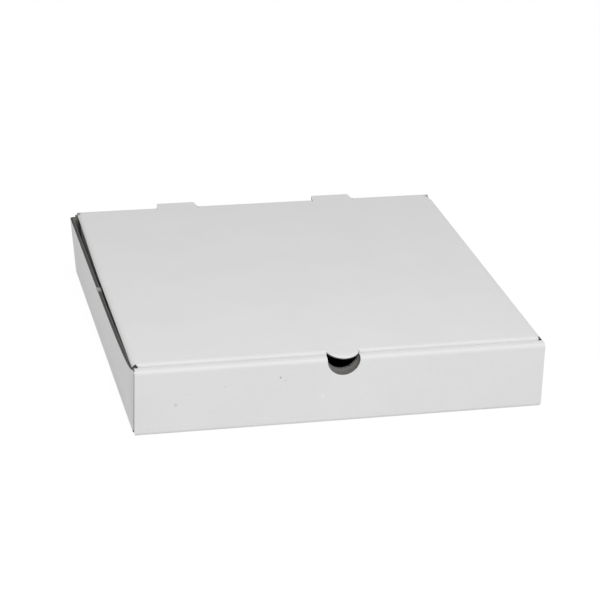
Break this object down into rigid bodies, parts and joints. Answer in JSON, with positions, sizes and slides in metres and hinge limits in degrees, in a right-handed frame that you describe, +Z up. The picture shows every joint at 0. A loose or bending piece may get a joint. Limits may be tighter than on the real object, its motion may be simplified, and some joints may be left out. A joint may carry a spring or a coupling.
{
  "type": "pizza box",
  "caption": "Square corrugated pizza box with a rolled front wall, thumb notch and a hinged lid that tucks inside the walls.",
  "frame": {"origin": "centre of the tray floor's underside, on the table", "axes": "+Z up, +Y from the thumb notch in the front wall towards the lid's rear crease, +X to the right seen from the front"},
  "size_m": [0.305, 0.3192, 0.0532],
  "materials": {
    "white_board": "matt white-coated outer liner, plain grey-brown inner liner and raw fluted edges"
  },
  "bodies": {
    "tray": {"tray": "white_board"},
    "lid": {"lid": "white_board"}
  },
  "joints": [
    {"name": "lid_hinge", "type": "hinge", "parent": "tray", "child": "lid", "pos_m": [0, 0.15425, 0.05195], "axis": [-1, 0, 0], "range_deg": [0, 180]}
  ]
}
